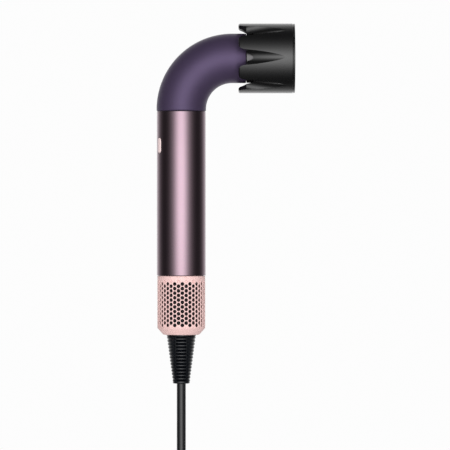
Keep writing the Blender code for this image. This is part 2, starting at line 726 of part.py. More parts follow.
def make_cord():
    """The straight drop to the hank, the hank, and the tail that ends in the plug beside it."""
    drop_end = HANK_TOP + 0.0225
    drop = [Vector((0, 0, z)) for z in (RELIEF[0] - GAP, -0.1700, -0.1900, drop_end)]
    wire("cord_lead", smooth_path(drop, 0.0160), CORD_R, "cord", 2)
    make_hank()
    layer = HANK_LAYERS * CORD_PITCH + GAP
    inner = HANK_LOOP - CORD_PITCH
    left, right = HANK_X + inner, HANK_X - inner
    tail = [Vector((left, layer, HANK_TOP - 0.0240)), Vector((left, layer, HANK_TOP))]
    for step in range(1, 7):
        angle = math.pi * step / 7
        tail.append(
            Vector((HANK_X + inner * math.cos(angle), layer, HANK_TOP + inner * math.sin(angle)))
        )
    tail += [
        Vector((right, layer + 0.0010, HANK_TOP)),
        Vector((right + 0.0060, layer + 0.0060, HANK_TOP - 0.0220)),
        Vector((HANK_X - 0.0030, PLUG_Y - 0.0010, HANK_TOP - 0.0480)),
        Vector((HANK_X, PLUG_Y, HANK_TOP - 0.0700)),
    ]
    wire("cord_tail", smooth_path(tail, 0.0120), CORD_R, "cord", 2)

    top = HANK_TOP - 0.0700 - GAP
    axis = axis_empty("plug_axis", (HANK_X, PLUG_Y, top))
    grip = 0.0340
    body_outline = pill(0.0360, 0.0170, 5)
    face = prism("plug_body", [(y, x) for x, y in body_outline][::-1], (-0.0150 - grip, -0.0150),
                 "rubber", axis)
    neck = turned("plug_neck", [(0, 0), (0.0052, 0), (0.0075, -0.0180), (0, -0.0180)], None, axis, 16)
    boolean(face, neck, "UNION")
    for index, side in enumerate((-1, 1)):
        rod(f"plug_pin_{index + 1}", 0.0024, 0.0190, "steel", axis,
            (side * 0.0095, 0, -0.0150 - grip - GAP - 0.0095), sides=12)


make_handle()
make_elbow()
make_heater()
make_motor()
make_boards()
make_controls()
make_inlet()
make_cage()
make_relief()
make_diffuser()
make_cord()

for piece in PARTS.objects:
    if piece.type == "MESH":
        piece.data.shade_smooth()
        piece.data.set_sharp_from_angle(angle=math.radians(35))
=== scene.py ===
"""The finished look of the hooked hair dryer and its petalled diffuser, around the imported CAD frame.

Metres, +Z up along the handle, +X towards the outlet, the same frame as the CAD. Sizes are read
from the CAD boxes where a box gives them; the rest are the CAD's own driving dimensions.
"""

import json
import math

import bmesh
import bpy
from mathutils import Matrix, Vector


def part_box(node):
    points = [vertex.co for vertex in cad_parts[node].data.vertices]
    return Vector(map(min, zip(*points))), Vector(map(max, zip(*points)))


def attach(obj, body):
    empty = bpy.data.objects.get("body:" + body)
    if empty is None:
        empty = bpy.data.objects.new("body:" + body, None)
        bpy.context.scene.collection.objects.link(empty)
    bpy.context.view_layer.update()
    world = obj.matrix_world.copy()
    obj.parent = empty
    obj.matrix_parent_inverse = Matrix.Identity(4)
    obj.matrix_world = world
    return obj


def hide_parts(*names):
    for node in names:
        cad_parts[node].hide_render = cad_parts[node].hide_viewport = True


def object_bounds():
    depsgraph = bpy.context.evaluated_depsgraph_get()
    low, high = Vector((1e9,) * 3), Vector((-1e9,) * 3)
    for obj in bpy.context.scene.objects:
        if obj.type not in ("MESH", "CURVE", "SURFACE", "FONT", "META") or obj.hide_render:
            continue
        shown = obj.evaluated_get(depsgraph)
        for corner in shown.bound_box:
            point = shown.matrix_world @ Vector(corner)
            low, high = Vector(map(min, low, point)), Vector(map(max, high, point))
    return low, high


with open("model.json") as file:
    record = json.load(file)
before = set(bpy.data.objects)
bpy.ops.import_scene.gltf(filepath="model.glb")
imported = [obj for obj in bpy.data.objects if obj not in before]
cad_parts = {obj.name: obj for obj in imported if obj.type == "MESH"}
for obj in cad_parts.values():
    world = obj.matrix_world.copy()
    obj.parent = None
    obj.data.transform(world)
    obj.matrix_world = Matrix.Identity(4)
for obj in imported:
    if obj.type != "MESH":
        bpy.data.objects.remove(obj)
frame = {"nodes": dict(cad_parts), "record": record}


def plain(box):
    """A box's two corners as lists of ordinary numbers."""
    return [[float(value) for value in corner] for corner in box]


CAD_BOX = plain(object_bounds())

# Sizes shared with the CAD
BEND_R = 0.0393
WALL = 0.0014
BUTTON_TURN = math.radians(27.3)
GROOVE_TURNS = (0, 52, 131, 180, 229, 308)
GROOVE_APEX = 0.0801
GROOVE_R = 0.0060
MOUTH_X = 0.0502
MOUTH_FLARE = 0.0036
PETAL_BORE = 0.0229
CORD_R = 0.0035
CORD_PITCH = 0.0071
HANK_LOOP = 0.0281
HANK_WAIST = 0.01745
HANK_TOP = -0.2330
HANK_RUN = 0.1300
PLUG_Y = 0.0330
GAP = 0.0003

HANDLE_LOW, HANDLE_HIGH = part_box("handle_tube")
HANDLE_R = (HANDLE_HIGH[1] - HANDLE_LOW[1]) / 2
ELBOW_LOW, ELBOW_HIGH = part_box("elbow_cover")
ELBOW_R = (ELBOW_HIGH[1] - ELBOW_LOW[1]) / 2
HEAD_Z = ELBOW_HIGH[2] - ELBOW_R
BEND_Z = HEAD_Z - BEND_R
CAGE_LOW, CAGE_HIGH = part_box("filter_cage")
RELIEF_LOW, RELIEF_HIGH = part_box("strain_relief")
BODY_LOW, BODY_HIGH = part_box("diffuser_body")
DIFFUSER_R = (BODY_HIGH[1] - BODY_LOW[1]) / 2


# Camera and light

def make_camera():
    """A long lens square on to the side of the dryer, its cord leaving the lower edge."""
    distance, width_seen = 3.2, 0.3476
    camera_data = bpy.data.cameras.new("camera")
    camera_data.sensor_width = 36.0
    camera_data.lens = 36.0 * distance / width_seen
    camera_data.clip_end = 50.0
    camera = bpy.data.objects.new("camera", camera_data)
    camera.location = (0.03375, -distance, -0.0243)
    camera.rotation_euler = (math.pi / 2, 0, 0)
    bpy.context.scene.collection.objects.link(camera)
    bpy.context.scene.camera = camera


def make_world():
    """A pale studio: a broad soft light in front, dim sides, and white card all round behind."""
    world = bpy.data.worlds.new("studio")
    bpy.context.scene.world = world
    world.use_nodes = True
    nodes, links = world.node_tree.nodes, world.node_tree.links
    nodes.clear()
    coordinates = nodes.new("ShaderNodeTexCoord")
    split = nodes.new("ShaderNodeSeparateXYZ")
    links.new(coordinates.outputs["Generated"], split.inputs["Vector"])
    turn = nodes.new("ShaderNodeMapRange")
    turn.inputs["From Min"].default_value = 1.0
    turn.inputs["From Max"].default_value = -1.0
    links.new(split.outputs["Y"], turn.inputs["Value"])
    ramp = nodes.new("ShaderNodeValToRGB")
    # (how far round to the front, brightness): white card behind, dim sides, the soft light.
    stops = [
        (0.00, 0.30), (0.05, 0.28), (0.17, 0.17), (0.31, 0.055), (0.45, 0.018), (0.60, 0.015),
        (0.70, 0.026), (0.76, 0.045), (0.835, 0.10), (0.894, 0.20), (0.94, 0.39), (0.975, 0.66),
        (0.992, 0.85), (1.00, 0.90),
    ]
    ramp.color_ramp.elements[0].position, ramp.color_ramp.elements[1].position = 0.0, 1.0
    for position, _value in stops[1:-1]:
        ramp.color_ramp.elements.new(position)
    for element, (_position, value) in zip(ramp.color_ramp.elements, stops):
        element.color = (value, value, value, 1.0)
    links.new(turn.outputs["Result"], ramp.inputs["Fac"])
    light = nodes.new("ShaderNodeBackground")
    light.inputs["Strength"].default_value = 4.7
    links.new(ramp.outputs["Color"], light.inputs["Color"])
    card = nodes.new("ShaderNodeBackground")
    card.inputs["Color"].default_value = (0.98, 0.98, 0.98, 1.0)
    path = nodes.new("ShaderNodeLightPath")
    mix = nodes.new("ShaderNodeMixShader")
    links.new(path.outputs["Is Camera Ray"], mix.inputs["Fac"])
    links.new(light.outputs["Background"], mix.inputs[1])
    links.new(card.outputs["Background"], mix.inputs[2])
    output = nodes.new("ShaderNodeOutputWorld")
    links.new(mix.outputs["Shader"], output.inputs["Surface"])
    bpy.context.scene.view_settings.view_transform = "Standard"


def make_fill_lights():
    """Two large soft lights in front that don't show in the polished surfaces."""
    for name, x, power in (("fill_left", -1.1, 11.0), ("fill_right", 1.1, 11.0)):
        data = bpy.data.lights.new(name, "AREA")
        data.shape = "DISK"
        data.size = 1.2
        data.energy = power
        light = bpy.data.objects.new(name, data)
        light.location = (x, -1.5, 0.35)
        light.rotation_euler = Vector(light.location).to_track_quat("Z", "Y").to_euler()
        light.visible_glossy = False
        light.visible_camera = False
        bpy.context.scene.collection.objects.link(light)


def make_floor():
    """A plain pale floor just under the hank."""
    mesh = bpy.data.meshes.new("studio_floor")
    half, drop = 1.2, CAD_BOX[0][2] - 0.004
    corners = [(-half, -half, drop), (half, -half, drop), (half, half, drop), (-half, half, drop)]
    mesh.from_pydata(corners, [], [(0, 1, 2, 3)])
    floor = bpy.data.objects.new("studio_floor", mesh)
    bpy.context.scene.collection.objects.link(floor)
    paint = surface("floor_paint", (0.86, 0.86, 0.86), 0.8, mottle=0.02)
    shader = paint.node_tree.nodes["Principled BSDF"]
    shader.inputs["Emission Color"].default_value = (1.0, 1.0, 1.0, 1.0)
    shader.inputs["Emission Strength"].default_value = 0.28
    mesh.materials.append(paint)
    floor.visible_glossy = False


# Materials

def surface(name, colour, roughness, metallic=0.0, mottle=0.05, mottle_scale=60.0, grain=2600.0,
            bump=0.03, spread=0.06, coat=0.0, flakes=0.0, specular=0.5, bump_depth=0.0001):
    """A Principled surface with its own colour variation, roughness variation and fine grain."""
    material = bpy.data.materials.new(name)
    material.use_nodes = True
    nodes, links = material.node_tree.nodes, material.node_tree.links
    shader = nodes["Principled BSDF"]
    shader.inputs["Metallic"].default_value = metallic
    shader.inputs["Coat Weight"].default_value = coat
    shader.inputs["Coat Roughness"].default_value = 0.12
    shader.inputs["Specular IOR Level"].default_value = specular
    where = nodes.new("ShaderNodeTexCoord")
    cloud = nodes.new("ShaderNodeTexNoise")
    cloud.inputs["Scale"].default_value = mottle_scale
    cloud.inputs["Detail"].default_value = 4.0
    links.new(where.outputs["Object"], cloud.inputs["Vector"])
    tint = nodes.new("ShaderNodeMix")
    tint.data_type = "RGBA"
    tint.inputs["A"].default_value = (*[c * (1 - mottle) for c in colour], 1.0)
    tint.inputs["B"].default_value = (*[min(1.0, c * (1 + mottle)) for c in colour], 1.0)
    links.new(cloud.outputs["Fac"], tint.inputs["Factor"])
    colour_out = tint.outputs["Result"]
    if flakes:
        flake = nodes.new("ShaderNodeTexVoronoi")
        flake.inputs["Scale"].default_value = 5200.0
        links.new(where.outputs["Object"], flake.inputs["Vector"])
        glint = nodes.new("ShaderNodeMix")
        glint.data_type = "RGBA"
        glint.blend_type = "OVERLAY"
        glint.inputs["Factor"].default_value = flakes
        links.new(colour_out, glint.inputs["A"])
        links.new(flake.outputs["Color"], glint.inputs["B"])
        colour_out = glint.outputs["Result"]
    links.new(colour_out, shader.inputs["Base Color"])
    polish = nodes.new("ShaderNodeMapRange")
    polish.inputs["To Min"].default_value = max(0.0, roughness - spread)
    polish.inputs["To Max"].default_value = min(1.0, roughness + spread)
    links.new(cloud.outputs["Fac"], polish.inputs["Value"])
    links.new(polish.outputs["Result"], shader.inputs["Roughness"])
    fine = nodes.new("ShaderNodeTexNoise")
    fine.inputs["Scale"].default_value = grain
    fine.inputs["Detail"].default_value = 3.0
    links.new(where.outputs["Object"], fine.inputs["Vector"])
    relief = nodes.new("ShaderNodeBump")
    relief.inputs["Strength"].default_value = bump
    relief.inputs["Distance"].default_value = bump_depth
    links.new(fine.outputs["Fac"], relief.inputs["Height"])
    links.new(relief.outputs["Normal"], shader.inputs["Normal"])
    return material


FINISH = {
    "handle": surface("handle_metallic", (0.205, 0.146, 0.173), 0.17, 1.0, flakes=0.05, spread=0.02),
    "elbow": surface("elbow_satin", (0.0615, 0.0435, 0.0875), 0.46, 0.5, flakes=0.04, specular=0.2),
    "silver": surface("outlet_silver", (0.062, 0.060, 0.062), 0.32, 0.8),
    "pink": surface("cage_pink", (0.66, 0.445, 0.425), 0.55, 0.0, mottle=0.02, bump=0.01, specular=0.4),
    "button": surface("button_cream", (0.68, 0.53, 0.525), 0.42, 0.0),
    "black": surface("diffuser_black", (0.0022, 0.0022, 0.0024), 0.27, 0.0, bump=0.03, spread=0.03,
                     specular=0.56),
    "rubber": surface("relief_rubber", (0.003, 0.004, 0.006), 0.30, 0.0, bump=0.03, spread=0.03),
    "cord": surface("cord_sheath", (0.004, 0.004, 0.005), 0.36, 0.0, bump=0.08),
    "steel": surface("bright_steel", (0.55, 0.55, 0.57), 0.25, 1.0),
    "copper": surface("winding", (0.62, 0.27, 0.12), 0.35, 0.9, grain=1500, bump=0.3),
    "magnet": surface("magnet_plate", (0.30, 0.30, 0.32), 0.3, 0.9),
    "mica": surface("mica_sheet", (0.52, 0.43, 0.30), 0.45, 0.0, mottle=0.2, mottle_scale=200),
    "nylon": surface("frame_nylon", (0.045, 0.045, 0.05), 0.5, 0.0, bump=0.1),
    "board": surface("board_lacquer", (0.02, 0.13, 0.055), 0.35, 0.0, mottle=0.15, mottle_scale=300),
    "ceramic": surface("ceramic_bead", (0.75, 0.71, 0.62), 0.4, 0.0),
    "foam": surface("felt_foam", (0.055, 0.055, 0.06), 0.95, 0.0, grain=1200, bump=0.8, specular=0.2),
    "lens": surface("lens_clear", (0.75, 0.76, 0.8), 0.12, 0.0, bump=0.01),
    "tie": surface("tie_hook_and_loop", (0.02, 0.02, 0.022), 0.9, 0.0, grain=1800, bump=0.7),
    "mesh_dark": surface("inlet_dark", (0.02, 0.02, 0.022), 0.6, 0.4),
}


def paint_cad_nodes():
    """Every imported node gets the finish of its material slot; a replaced node keeps it unseen."""
    for row in frame["record"]["subparts"]:
        obj = frame["nodes"][row["node"]]
        finish = FINISH[row["material_slot"]]
        if not obj.material_slots:
            obj.data.materials.append(finish)
        for entry in obj.material_slots:
            entry.material = finish


# Mesh helpers

def join_loops(bm, first, second):
    """A band of faces between two closed loops of the same count."""
    for index in range(len(first)):
        after = (index + 1) % len(first)
        bm.faces.new((first[index], first[after], second[after], second[index]))


def soften(obj, width, segments=2, angle=35.0):
    """Rounds the edges that turn by more than the angle, with a bevel left on the piece."""
    modifier = obj.modifiers.new("Round", "BEVEL")
    modifier.width = width
    modifier.segments = segments
    modifier.limit_method = "ANGLE"
    modifier.angle_limit = math.radians(angle)
    modifier.harden_normals = True


def add_piece(name, bm, finish, body, *nodes, bevel=0.0, smooth=35.0):
    """Turns a bmesh into a named piece that rides on a body and stands for its CAD nodes."""
    bmesh.ops.remove_doubles(bm, verts=bm.verts, dist=0.000002)
    bmesh.ops.recalc_face_normals(bm, faces=bm.faces)
    mesh = bpy.data.meshes.new(name)
    bm.to_mesh(mesh)
    bm.free()
    mesh.materials.append(FINISH[finish])
    mesh.shade_smooth()
    mesh.set_sharp_from_angle(angle=math.radians(smooth))
    obj = bpy.data.objects.new(name, mesh)
    bpy.context.scene.collection.objects.link(obj)
    if bevel:
        soften(obj, bevel, 3)
    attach(obj, body)
    if nodes:
        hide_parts(*nodes)
    return obj


def along_handle(point):
    """A point about the handle's axis, which is already Z."""
    return Vector(point)


def along_head(point):
    """A point about a Z axis, moved to the head's axis, whose Z runs along +X."""
    x, y, z = point
    return Vector((z, y, HEAD_Z - x))


def lathe(profile, steps, where=along_handle, bm=None):
    """A closed (radius, height) profile turned about an axis."""
    bm = bm or bmesh.new()
    rings = []
    for step in range(steps):
        angle = math.tau * step / steps
        rings.append([
            bm.verts.new(where((radius * math.cos(angle), radius * math.sin(angle), height)))
            for radius, height in profile
        ])
    count = len(profile)
    for near, far in zip(rings, rings[1:] + rings[:1]):
        for index in range(count):
            after = (index + 1) % count
            if profile[index][0] == 0 and profile[after][0] == 0:
                continue
            bm.faces.new([near[index], near[after], far[after], far[index]])
    return bm


def rounded(profile, radius, segments=4):
    """The profile with its sharp corners turned into arcs; a corner listed with a third value
    keeps that radius instead."""
    points = []
    count = len(profile)
    for index, corner in enumerate(profile):
        here = Vector(corner[:2])
        size = corner[2] if len(corner) > 2 else radius
        before = Vector(profile[index - 1][:2]) - here
        after = Vector(profile[(index + 1) % count][:2]) - here
        if size <= 0 or before.length == 0 or after.length == 0:
            points.append(tuple(here))
            continue
        angle = before.angle(after)
        reach = min(size / math.tan(angle / 2), before.length * 0.49, after.length * 0.49)
        size = reach * math.tan(angle / 2)
        start, end = here + before.normalized() * reach, here + after.normalized() * reach
        centre = here + (before.normalized() + after.normalized()).normalized() * size / math.sin(angle / 2)
        for step in range(segments + 1):
            share = step / segments
            arm = (start - centre).lerp(end - centre, share)
            points.append(tuple(centre + arm.normalized() * size))
    return points


def cut(obj, cutters, smooth=30):
    """Takes the cutters out of the piece and applies the result, so no Boolean is left on it."""
    for cutter in cutters:
        modifier = obj.modifiers.new("Cut", "BOOLEAN")
        modifier.object = cutter
        modifier.solver = "EXACT"
    graph = bpy.context.evaluated_depsgraph_get()
    mesh = bpy.data.meshes.new_from_object(obj.evaluated_get(graph))
    obj.modifiers.clear()
    obj.data = mesh
    for cutter in cutters:
        bpy.data.objects.remove(cutter, do_unlink=True)
    mesh.shade_smooth()
    mesh.set_sharp_from_angle(angle=math.radians(smooth))


def helper(name, bm):
    """A cutter's object, which cut() removes again."""
    bmesh.ops.recalc_face_normals(bm, faces=bm.faces)
    mesh = bpy.data.meshes.new(name)
    bm.to_mesh(mesh)
    bm.free()
    obj = bpy.data.objects.new(name, mesh)
    bpy.context.scene.collection.objects.link(obj)
    return obj


def pill(tall, wide, points=12):
    """A slot outline with round ends, tall along the second axis."""
    radius = wide / 2
    outline = []
    for end, start in ((1, 0.0), (-1, math.pi)):
        for step in range(points + 1):
            angle = start + math.pi * step / points
            outline.append(
                (radius * math.cos(angle), end * (tall / 2 - radius) + radius * math.sin(angle))
            )
    return outline


def raised(outline, place, low, high, bm=None):
    """A prism whose outline is placed by place(x, y, height) at both heights."""
    bm = bm or bmesh.new()
    floor = [bm.verts.new(place(x, y, low)) for x, y in outline]
    roof = [bm.verts.new(place(x, y, high)) for x, y in outline]
    bm.faces.new(floor)
    bm.faces.new(roof)
    join_loops(bm, floor, roof)
    return bm


def loft(sections, bm=None):
    """Skins closed loops of the same count, one after another, and caps both ends."""
    bm = bm or bmesh.new()
    loops = [[bm.verts.new(point) for point in section] for section in sections]
    for near, far in zip(loops, loops[1:]):
        join_loops(bm, near, far)
    bm.faces.new(loops[0])
    bm.faces.new(loops[-1])
    return bm


# Handle, elbow and outlet

def button_place(side):
    """Puts (across, up, out) of a button into the frame; out is the distance from the axis."""
    low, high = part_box("airflow_button" if side > 0 else "temperature_button")
    middle = (low[2] + high[2]) / 2
    around = math.pi + side * BUTTON_TURN
    outward = Vector((math.cos(around), math.sin(around), 0))
    across = Vector((-math.sin(around), math.cos(around), 0))

    def put(x, y, out):
        return outward * out + across * x + Vector((0, 0, middle + y))
    return put


def node_height(node):
    """How tall a CAD node is along the handle."""
    low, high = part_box(node)
    return high[2] - low[2]


def make_handle():
    """The grip tube, with its two button slots, the slider's slot and the lens hole cut through."""
    low, high = HANDLE_LOW[2], HANDLE_HIGH[2]
    cut_from, cut_to = 0.0150, 0.0210
    inner = HANDLE_R - WALL
    profile = rounded([(HANDLE_R, high), (HANDLE_R, low), (inner, low), (inner, high)], 0.0003)
    tube = add_piece("grip_tube", lathe(profile, 128), "handle", "handle", "handle_tube")
    slot = pill(node_height("airflow_button") + 0.0005, 0.0052)
    cutters = [
        helper(f"slot_{side}", raised(slot, button_place(side), cut_from, cut_to)) for side in (1, -1)
    ]
    slider_low, slider_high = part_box("power_slider")
    middle = (slider_low[2] + slider_high[2]) / 2 + 0.0025

    def put(x, y, out):
        return Vector((-out, x, middle + y))
    cutters.append(helper("slider_slot", raised(pill(0.0110, 0.0048), put, cut_from, cut_to)))
    lens_low, lens_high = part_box("status_lens")
    lens_z = (lens_low[2] + lens_high[2]) / 2

    def put_lens(x, y, out):
        return Vector((-out, x, lens_z + y))
    cutters.append(helper("lens_hole", raised(pill(0.0030, 0.00299), put_lens, cut_from, cut_to)))
    cut(tube, cutters)
    soften(tube, 0.00015)


def make_buttons():
    """Crowned pill caps, whose face follows the handle's own curve."""
    for side, node in ((1, "airflow_button"), (-1, "temperature_button")):
        put = button_place(side)
        tall = node_height(node)
        bm = bmesh.new()
        levels = [(0.0, 0.0172), (0.0, 0.0189), (0.00025, 0.0192), (0.0007, 0.01938), (0.0013, 0.01942)]
        loops = []
        for inset, out in levels:
            outline = pill(tall - 2 * inset, 0.0047 - 2 * inset)
            loops.append([
                bm.verts.new(put(x, y, out if inset == 0 and out < 0.018 else
                                 math.sqrt(out * out - x * x)))
                for x, y in outline
            ])
        for lower, upper in zip(loops, loops[1:]):
            join_loops(bm, lower, upper)
        bm.faces.new(loops[0])
        bm.faces.new(loops[-1])
        add_piece(node + "_cap", bm, "button", node, node, smooth=50)


def make_elbow():
    """The bent cover, swept finely, with a rolled edge at each end."""
    outer, inner, sides = ELBOW_R, ELBOW_R - WALL, 96
    drop, run = BEND_Z - ELBOW_LOW[2], ELBOW_HIGH[0] - BEND_R
    lip = 0.0005
    stations = [(0.0, Vector((0, 0, -drop)), lip), (0.0, Vector((0, 0, lip - drop)), 0.0)]
    bends = 40
    for step in range(bends + 1):
        stations.append((math.pi / 2 * step / bends, Vector((0, 0, 0)), 0.0))
    stations += [
        (math.pi / 2, Vector((run - lip, 0, 0)), 0.0), (math.pi / 2, Vector((run, 0, 0)), lip)
    ]
    bm = bmesh.new()
    walls = []
    for radius, sign in ((outer, -1), (inner, 0)):
        loops = []
        for turn, shift, tuck in stations:
            loop = []
            for step in range(sides):
                angle = math.tau * step / sides
                size = radius + sign * tuck
                reach = BEND_R + size * math.cos(angle)
                loop.append(bm.verts.new(Vector((
                    BEND_R - reach * math.cos(turn), size * math.sin(angle),
                    BEND_Z + reach * math.sin(turn),
                )) + shift))
            loops.append(loop)
        for near, far in zip(loops, loops[1:]):
            join_loops(bm, near, far)
        walls.append(loops)
    for end in (0, -1):
        join_loops(bm, walls[0][end], walls[1][end])
    add_piece("elbow_tube", bm, "elbow", "handle", "elbow_cover", smooth=60)


def make_outlet():
    """The bright band past the bend, and its thinner skirt that runs back inside the elbow."""
    low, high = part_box("outlet_ring")
    radius = (high[1] - low[1]) / 2
    shoulder = ELBOW_HIGH[0] + GAP
    profile = rounded([
        (radius, high[0]), (radius, shoulder), (0.0174, shoulder), (0.0174, low[0]),
        (0.0163, low[0]), (0.0163, high[0]),
    ], 0.0003)
    add_piece("outlet_band", lathe(profile, 96, along_head), "silver", "handle", "outlet_ring")


# Filter cage and strain relief

def make_cage():
    """A wall of round holes in staggered columns, with a shallow dimple above each shorter column,
    and the closed foot below it."""
    outer = (CAGE_HIGH[1] - CAGE_LOW[1]) / 2
    wall, chamfer, foot_r, eye_r = 0.0012, 0.0053, 0.0139, 0.0118
    top, bottom = CAGE_HIGH[2], CAGE_LOW[2]
    shoulder = bottom + chamfer
    columns, pitch, hole_r = 38, 0.00353, 0.00152
    rows = 10
    step_angle = math.tau / columns
    gap = outer * math.tau / columns
    # A cell is the hexagon of points nearer to its own hole than to any other.
    top_x = (gap * gap - pitch * pitch / 4) / (2 * gap)
    side_x = (gap * gap + pitch * pitch / 4) / (2 * gap)
    cell = [
        (top_x, pitch / 2), (-top_x, pitch / 2), (-side_x, 0.0),
        (-top_x, -pitch / 2), (top_x, -pitch / 2), (side_x, 0.0),
    ]
    first_hole, first_column = top - 0.0060, 0.34
    bm = bmesh.new()
    for column in range(columns):
        odd = column % 2
        for row in range(-2, rows + 1):
            centre_z = first_hole - (row + 0.5 * odd) * pitch
            points = []
            for index in range(6):
                start, end = Vector(cell[index]), Vector(cell[(index + 1) % 6])
                points += [start, (start + end) / 2]

            def wrap(point, sink=0.0):
                turn = step_angle * (column + first_column) - math.pi / 2 + point[0] / outer
                reach = outer - sink
                return bm.verts.new(
                    (reach * math.cos(turn), reach * math.sin(turn), centre_z + point[1])
                )
            rim = [wrap(point) for point in points]
            open_hole = 0 <= row < rows - odd
            if not open_hole and not (odd and row == -1):
                bm.faces.new(rim)
                continue
            size = hole_r if open_hole else hole_r * 0.85
            edge = [wrap(point.normalized() * size) for point in points]
            join_loops(bm, rim, edge)
            if not open_hole:
                floor = [wrap(point.normalized() * size * 0.7, 0.0009) for point in points]
                join_loops(bm, edge, floor)
                bm.faces.new(floor)
    bmesh.ops.remove_doubles(bm, verts=bm.verts, dist=0.00002)
    for height, side in ((top, 1), (shoulder - 0.0001, -1)):
        bmesh.ops.bisect_plane(
            bm, geom=bm.verts[:] + bm.edges[:] + bm.faces[:], dist=0.0000001,
            plane_co=(0, 0, height), plane_no=(0, 0, side), clear_outer=True,
        )
    cage = add_piece("cage_wall", bm, "pink", "filter_cage", "filter_cage", smooth=50)
    outward = sum(face.normal.dot(Vector((*face.center[:2], 0))) for face in cage.data.polygons)
    if outward < 0:
        cage.data.flip_normals()
    solid = cage.modifiers.new("Thickness", "SOLIDIFY")
    solid.thickness = wall
    solid.offset = -1.0
    foot = rounded([
        (outer, shoulder + 0.0002, 0.0), (outer, shoulder - 0.0001, 0.0012), (foot_r, bottom, 0.0012),
        (eye_r, bottom, 0.0003), (eye_r, bottom + wall, 0.0003), (foot_r - 0.0005, bottom + wall, 0.0003),
        (outer - wall, shoulder + 0.0002, 0.0),
    ], 0.0003)
    add_piece("cage_foot", lathe(foot, 114), "pink", "filter_cage", "filter_cage", smooth=50)


def make_inlet():
    """The intake under the cage: a moulded basket, and the fine wire cloth round it."""
    low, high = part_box("inlet_frame")
    flange_r, flange_z, seat_r = (high[1] - low[1]) / 2, -0.0690, 0.0129
    collar = rounded([
        (flange_r, high[2]), (flange_r, flange_z, 0.0006), (seat_r, flange_z), (seat_r, -0.0660),
        (0.0154, -0.0625), (0.0154, high[2]),
    ], 0.0003)
    basket = lathe(collar, 96)
    floor = rounded([(0.0132, low[2] + 0.0020), (0.0132, low[2]), (0.0060, low[2]),
                     (0.0060, low[2] + 0.0020)], 0.0004)
    lathe(floor, 96, bm=basket)
    for index in range(4):
        turn = math.tau * (index + 0.5) / 4

        def rib(x, y, out, turn=turn):
            return Vector((
                (0.0125 + x) * math.cos(turn) - y * math.sin(turn),
                (0.0125 + x) * math.sin(turn) + y * math.cos(turn), out,
            ))
        raised([(-0.0007, -0.0012), (0.0007, -0.0012), (0.0007, 0.0012), (-0.0007, 0.0012)],
               rib, low[2] + 0.0010, flange_z + 0.0025, basket)
    add_piece("inlet_basket", basket, "nylon", "handle", "inlet_frame")

    low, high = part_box("filter_mesh")
    radius, inner = (high[1] - low[1]) / 2, 0.0140
    columns, rows, wire = 60, 22, 0.2
    bm = bmesh.new()

    def put(column, row, reach):
        angle = math.tau * column / columns
        height = low[2] + (high[2] - low[2]) * row / rows
        return bm.verts.new((reach * math.cos(angle), reach * math.sin(angle), height))

    crossings = [[put(column, row, radius) for column in range(columns)] for row in range(rows + 1)]
    for row in range(rows):
        for column in range(columns):
            corners = ((0, 0), (1, 0), (1, 1), (0, 1))
            rim = [crossings[row + up][(column + along) % columns] for along, up in corners]
            pit = [
                put(column + wire + (1 - 2 * wire) * along, row + wire + (1 - 2 * wire) * up,
                    radius - 0.0003)
                for along, up in corners
            ]
            join_loops(bm, rim, pit)
            bm.faces.new(pit)
    inside = [[put(column, row, inner) for column in range(columns)] for row in (0, rows)]
    for first, second in ((crossings[0], inside[0]), (inside[0], inside[1]), (inside[1], crossings[-1])):
        join_loops(bm, first, second)
    add_piece("wire_cloth", bm, "mesh_dark", "handle", "filter_mesh", smooth=25)


def make_relief():
    """A tapered sleeve: deep round-topped ribs on the front and back, shallow ones on the sides
    half a pitch off, and an upright channel between each two segments."""
    top, low = RELIEF_HIGH[2], RELIEF_LOW[2]
    top_r = (RELIEF_HIGH[1] - RELIEF_LOW[1]) / 2
    end_r, pitch = 0.00645, 0.00256
    front_half, channel, crown = 0.0044, 0.0008, 0.0003
    tall = top - low

    def taper(height):
        return top_r + (end_r - top_r) * (top - height) / tall

    def sunk(zone, height):
        if not 0.0012 < height - low < tall - 0.0008:
            return 0.0
        if zone == "channel":
            return 0.0010
        share, groove_depth, shift = (0.42, 0.0020, 0.0) if zone == "front" else (0.62, 0.0006, 0.5)
        phase = ((top - height) / pitch + shift) % 1.0
        if phase > share:
            into_groove = 1 - abs(2 * (phase - share) / (1 - share) - 1)
            return crown + (groove_depth - crown) * into_groove
        off_centre = 2 * phase / share - 1
        return crown * (1 - math.sqrt(1 - off_centre * off_centre))

    def columns(radius):
        """(angle from +Y, zone) all the way round, denser at the channels' edges."""
        near, far = math.asin(front_half / radius), math.asin((front_half + channel) / radius)
        quarter = [(near * step / 8, "front") for step in range(9)]
        quarter += [(near + (far - near) * share, "channel") for share in (0.15, 0.85)]
        quarter += [(far + (math.pi / 2 - far) * step / 12, "side") for step in range(13)]
        return (
            quarter
            + [(math.pi - angle, zone) for angle, zone in reversed(quarter[:-1])]
            + [(math.pi + angle, zone) for angle, zone in quarter[1:]]
            + [(math.tau - angle, zone) for angle, zone in reversed(quarter[1:-1])]
        )

    bm = bmesh.new()
    levels = 240
    rings = []
    for level in range(levels + 1):
        height = top - tall * level / levels
        end = min(1.0, (height - low) / 0.0008)
        round_end = 0.0006 * (1 - math.sqrt(1 - (1 - end) ** 2))
        ring_points = []
        for angle, zone in columns(taper(height)):
            radius = taper(height) - sunk(zone, height) - round_end
            ring_points.append(bm.verts.new((radius * math.sin(angle), radius * math.cos(angle), height)))
        rings.append(ring_points)
        if level:
            join_loops(bm, rings[-2], rings[-1])
    bm.faces.new(rings[0])
    bm.faces.new(rings[-1])
    add_piece("relief_sleeve", bm, "rubber", "handle", "strain_relief", smooth=50)


# Diffuser

